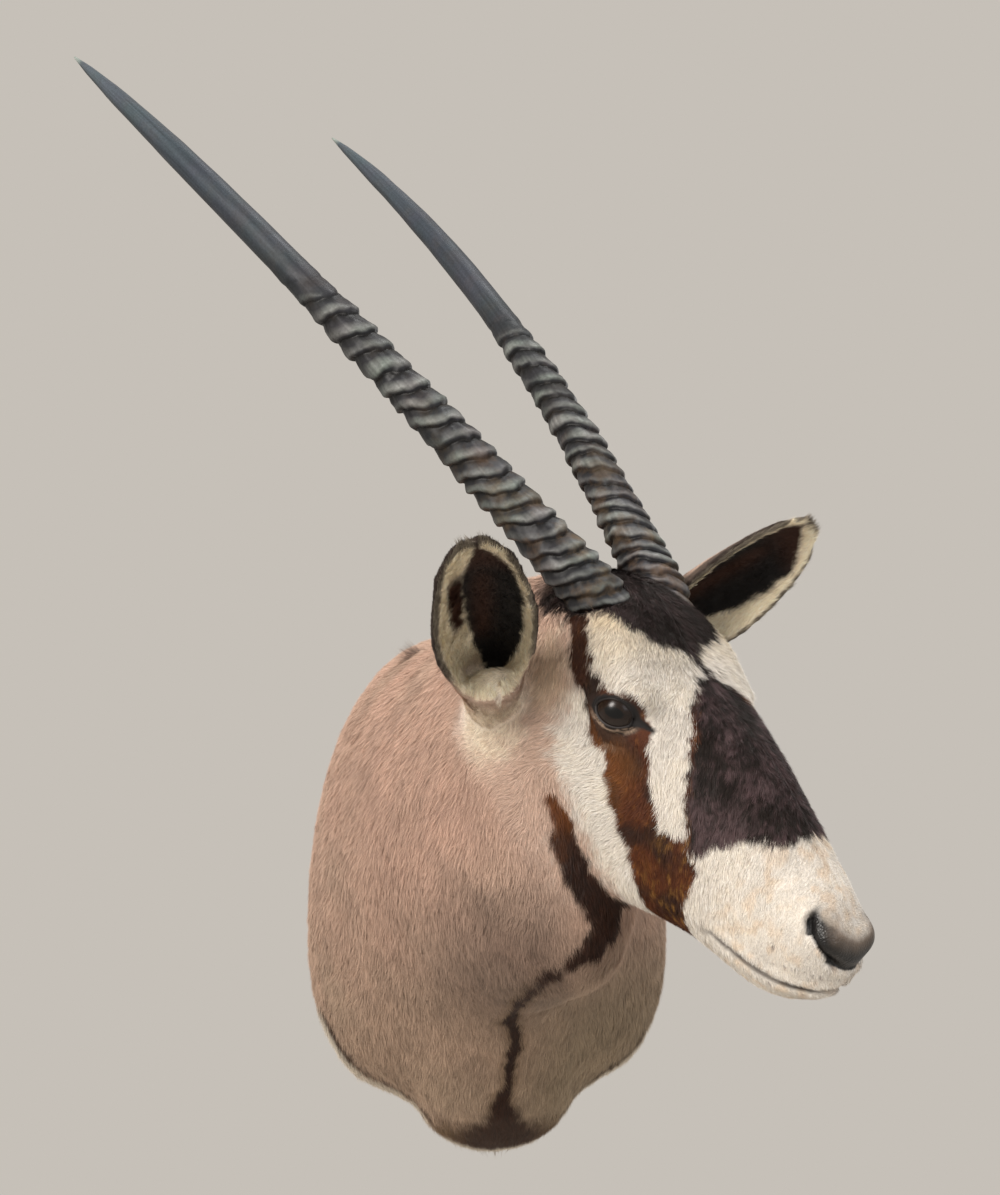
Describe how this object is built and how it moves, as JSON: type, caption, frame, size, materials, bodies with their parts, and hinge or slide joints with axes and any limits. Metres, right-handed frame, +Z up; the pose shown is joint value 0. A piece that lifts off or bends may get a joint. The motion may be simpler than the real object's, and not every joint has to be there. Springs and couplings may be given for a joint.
{
  "type": "gemsbok shoulder mount",
  "caption": "Wall-hung shoulder mount of a gemsbok: neck and head with long ringed horns and glass eyes, on a back board with a keyhole hanger.",
  "frame": {"origin": "the middle of the back board's rear face, which lies flat on the wall", "axes": "+Z up the wall, +Y into the wall, so the animal looks out along -Y with its head turned to its left, +X"},
  "size_m": [0.6718, 0.6734, 1.1032],
  "materials": {
    "hide": "short haired tanned skin",
    "horn": "ringed keratin, satin",
    "glass_eye": "polished, painted behind",
    "plywood": "sanded, unfinished",
    "zinc_steel": "zinc plated"
  },
  "bodies": {
    "root": {"hide": "hide", "horn_left": "horn", "horn_right": "horn", "eye_left": "glass_eye", "eye_right": "glass_eye", "back_board": "plywood", "hanger_plate": "zinc_steel", "hanger_screw_1": "zinc_steel", "hanger_screw_2": "zinc_steel", "hanger_screw_3": "zinc_steel", "hanger_screw_4": "zinc_steel"}
  },
  "joints": []
}
